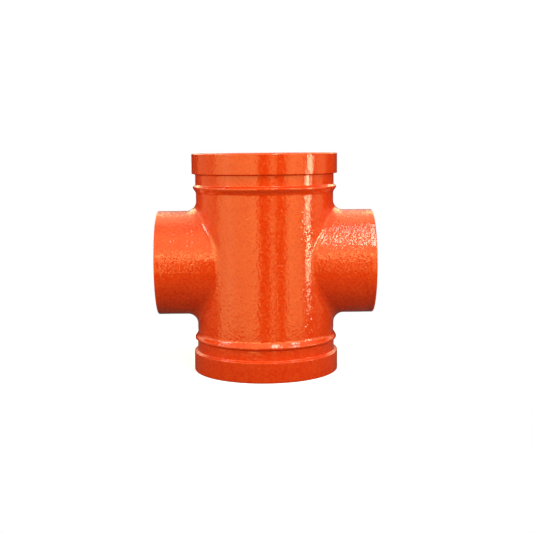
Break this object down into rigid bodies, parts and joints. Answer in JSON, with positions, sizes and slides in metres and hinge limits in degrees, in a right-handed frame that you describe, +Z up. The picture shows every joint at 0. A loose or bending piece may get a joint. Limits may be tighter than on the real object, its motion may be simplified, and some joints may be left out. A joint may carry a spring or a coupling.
{
  "type": "grooved reducing cross",
  "caption": "Painted cast pipe cross: a run with grooved ends and beads, crossed by two smaller tapped outlets with blended saddles.",
  "frame": {"origin": "where the axis of the run crosses the axis of the outlets, which is also the centre of the casting", "axes": "+Z up along the run, +X along the outlets to the picture's right, +Y away from the picture's camera"},
  "size_m": [0.1706, 0.115, 0.1726],
  "materials": {
    "orange_paint": "gloss",
    "cut_iron": "satin"
  },
  "bodies": {
    "root": {"cross_casting": "orange_paint"}
  },
  "joints": []
}
